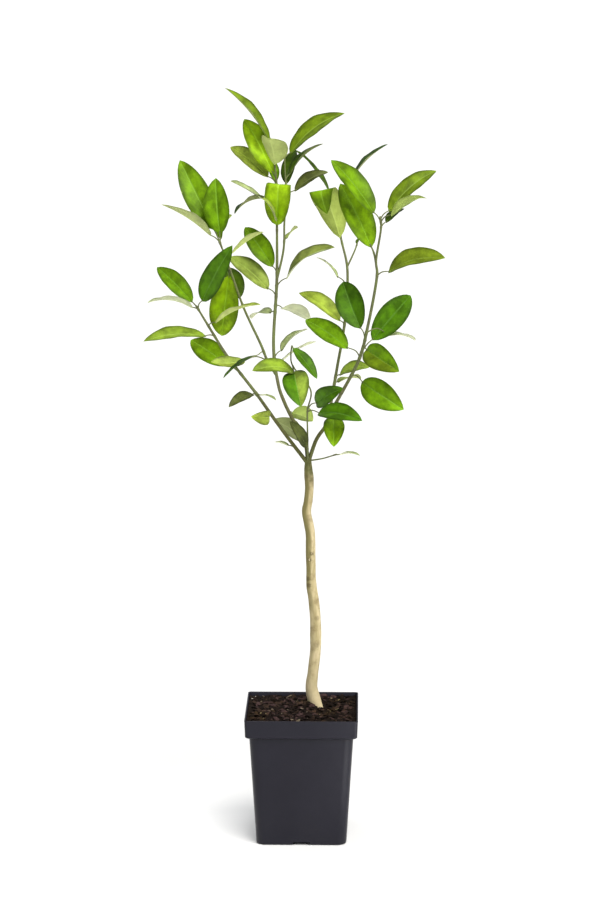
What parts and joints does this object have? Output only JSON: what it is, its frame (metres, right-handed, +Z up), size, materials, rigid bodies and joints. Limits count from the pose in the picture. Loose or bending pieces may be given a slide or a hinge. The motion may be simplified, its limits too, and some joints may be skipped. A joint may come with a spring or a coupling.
{
  "type": "potted orange tree",
  "caption": "Young orange tree trained to a single bare stem with an open head of large glossy leaves, standing in a square plastic nursery pot of bark mix.",
  "frame": {"origin": "middle of the pot's flat underside, on the surface that the pot stands on", "axes": "+Z up the trunk, -Y towards the viewer of the picture, +X to the viewer's right"},
  "size_m": [0.4035, 0.2971, 1.0226],
  "materials": {
    "pot_plastic": "satin",
    "potting_mix": "matte",
    "bark": "matte",
    "green_bark": "satin",
    "foliage": "satin"
  },
  "bodies": {
    "root": {"pot": "pot_plastic", "soil": "potting_mix", "trunk": "bark", "bough_left": "green_bark", "bough_right": "green_bark", "bough_centre": "green_bark", "bough_back": "green_bark", "foliage_left": "foliage", "foliage_left_upper": "foliage", "foliage_centre": "foliage", "foliage_right": "foliage", "foliage_back": "foliage", "foliage_front": "foliage", "foliage_low": "foliage", "leaf_fork_left": "foliage", "leaf_fork_back": "foliage", "leaf_low_left": "foliage", "leaf_low_centre": "foliage", "leaf_low_right": "foliage"}
  },
  "joints": []
}
